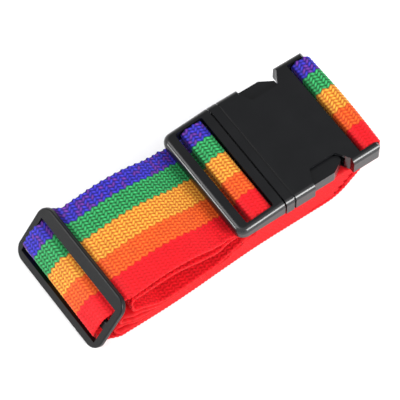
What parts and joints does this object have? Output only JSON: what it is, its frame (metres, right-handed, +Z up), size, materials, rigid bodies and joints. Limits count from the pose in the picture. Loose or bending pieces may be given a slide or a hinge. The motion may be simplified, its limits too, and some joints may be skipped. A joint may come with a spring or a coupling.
{
  "type": "luggage strap",
  "caption": "Folded flat-woven luggage strap in lengthwise rainbow stripes, closed with a side-release buckle and adjusted by a tri-glide.",
  "frame": {"origin": "centre of the bounding box, at its base on the ground", "axes": "+X runs along the strap from the tri-glide to the web end of the buckle's female half, +Y across the webbing towards its blue edge, +Z up"},
  "size_m": [0.1472, 0.0596, 0.0275],
  "materials": {
    "webbing": "woven polypropylene, ribbed, in five lengthwise stripes",
    "thread": "twisted polyester thread",
    "buckle_plastic": "satin moulded acetal"
  },
  "bodies": {
    "strap": {"webbing_leg": "webbing", "webbing_ground_run": "webbing", "webbing_glide_turn": "webbing", "webbing_top_run": "webbing", "webbing_folds": "webbing", "male_half": "buckle_plastic"},
    "female_end": {"female_half": "buckle_plastic", "webbing_end_loop": "webbing", "stitch_row_1": "thread", "stitch_row_2": "thread"},
    "glide": {"tri_glide": "buckle_plastic"},
    "latch_front": {"latch_arm_front": "buckle_plastic"},
    "latch_rear": {"latch_arm_rear": "buckle_plastic"}
  },
  "joints": [
    {"name": "buckle_release", "type": "slide", "parent": "strap", "child": "female_end", "axis": [1, 0, 0], "range_m": [0, 0.04], "deforming": ["webbing_leg", "latch_arm_front", "latch_arm_rear"]},
    {"name": "latch_front_squeeze", "type": "hinge", "parent": "strap", "child": "latch_front", "pos_m": [0.02522, -0.02189, 0.0227], "axis": [0, 0, 1], "range_deg": [0, 10], "stiffness_Nm_per_rad": 2},
    {"name": "latch_rear_squeeze", "type": "hinge", "parent": "strap", "child": "latch_rear", "pos_m": [0.02522, 0.02051, 0.0227], "axis": [0, 0, -1], "range_deg": [0, 10], "stiffness_Nm_per_rad": 2},
    {"name": "tri_glide_tilt", "type": "hinge", "parent": "strap", "child": "glide", "pos_m": [-0.06495, -0.00001, 0.0117], "axis": [-0.0105, 0.9999, 0], "range_deg": [0, 8], "deforming": ["webbing_glide_turn"]}
  ]
}
